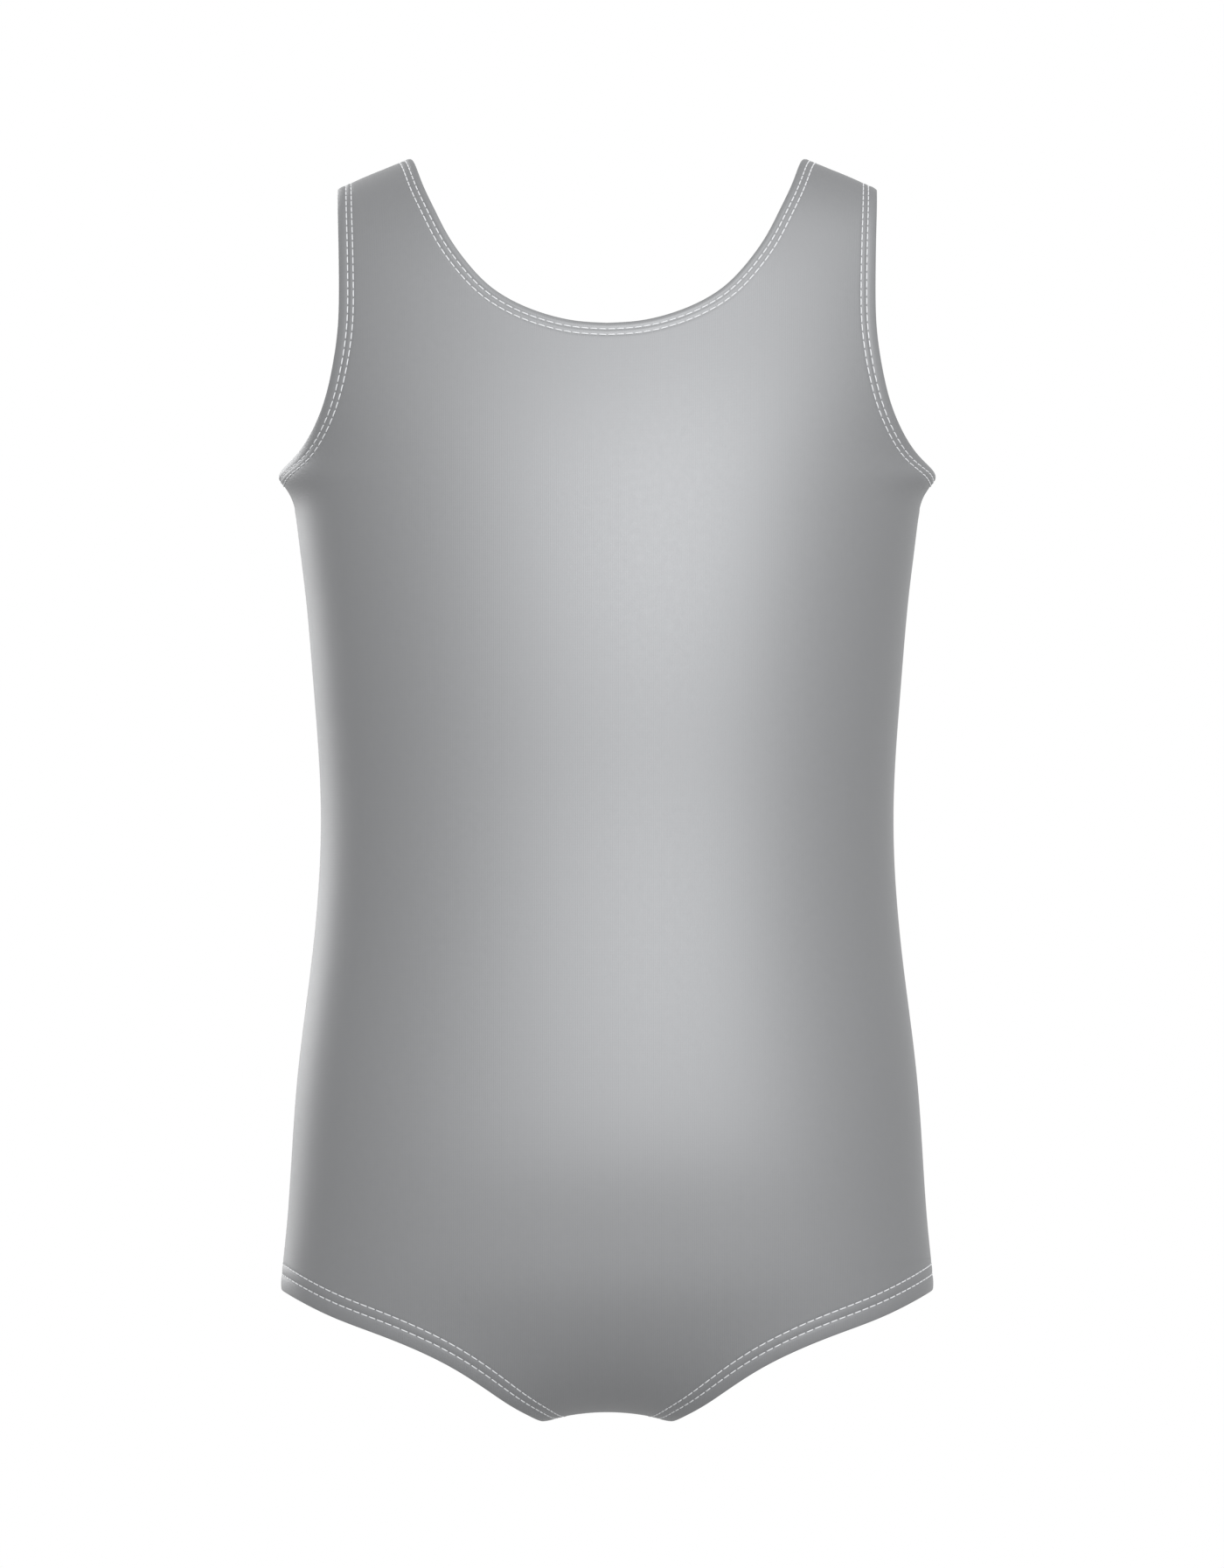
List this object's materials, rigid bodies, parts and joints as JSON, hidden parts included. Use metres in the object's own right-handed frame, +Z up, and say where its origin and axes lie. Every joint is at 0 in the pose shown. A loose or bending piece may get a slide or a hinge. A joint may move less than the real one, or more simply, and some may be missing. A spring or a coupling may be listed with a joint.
{
  "type": "tank leotard",
  "caption": "Sleeveless tank leotard for a child in smooth grey stretch knit, in its worn form, with a scoop neck, wide straps, cut-in armholes and low leg openings, all with topstitched hems",
  "frame": {"origin": "Midway between the tops of the two shoulder straps, on the line where the wearer's shoulders hold the garment up", "axes": "Front of the garment faces -Y, +X is its right side as seen from the front, and +Z is up"},
  "size_m": [0.26, 0.1724, 0.4998],
  "materials": {
    "knit": "grey nylon and elastane knit, smooth, with a soft satin sheen",
    "hem": "the same grey knit, turned inside and topstitched in paler thread"
  },
  "bodies": {
    "root": {"front": "knit", "back": "knit", "neck_hem": "hem", "armhole_hem_right": "hem", "armhole_hem_left": "hem", "leg_hem_right": "hem", "leg_hem_left": "hem"}
  },
  "joints": []
}
